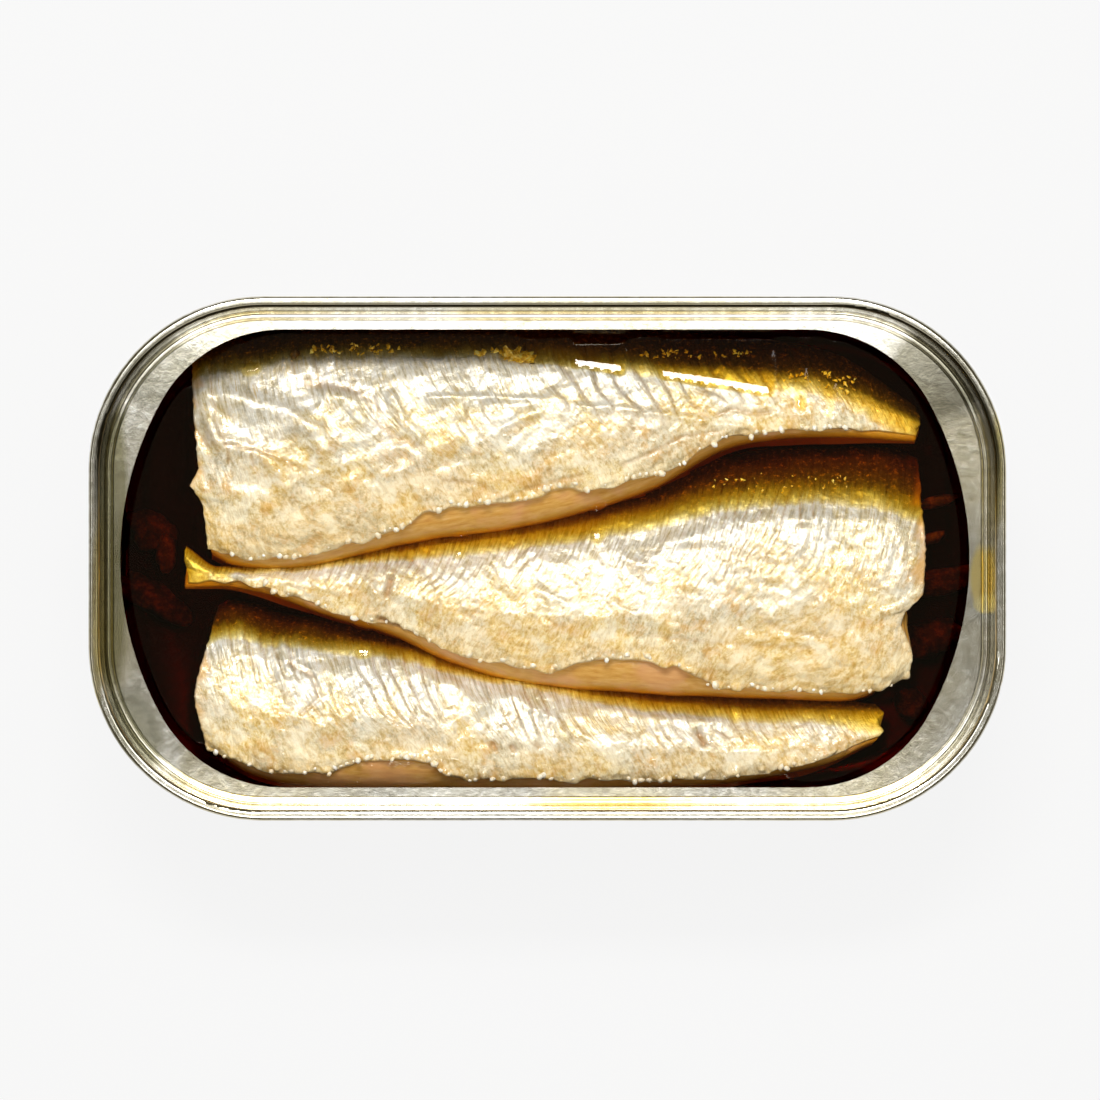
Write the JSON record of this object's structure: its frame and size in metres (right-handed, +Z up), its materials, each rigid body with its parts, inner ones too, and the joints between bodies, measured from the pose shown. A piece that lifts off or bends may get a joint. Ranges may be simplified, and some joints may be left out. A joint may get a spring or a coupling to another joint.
{
  "type": "opened sardine tin",
  "caption": "Opened rounded oblong tin: a drawn body with the torn ring of its peeled lid, filled with oil and headless sardines laid head to tail.",
  "frame": {"origin": "centre of the base, on the surface that the tin stands on", "axes": "+X along the tin, towards the tails of the outer two fish; +Y across it, towards the backs of the fish; +Z up, out of the opening"},
  "size_m": [0.105, 0.06, 0.022],
  "materials": {
    "tinplate": "bright tinplate, faintly mottled",
    "oil": "clear amber oil, dark where it is deep",
    "fish": "wet silver skin with golden brown stains"
  },
  "bodies": {
    "root": {"tin_body": "tinplate", "lid_ring": "tinplate", "oil": "oil", "sardine_top": "fish", "sardine_middle": "fish", "sardine_bottom": "fish"}
  },
  "joints": []
}
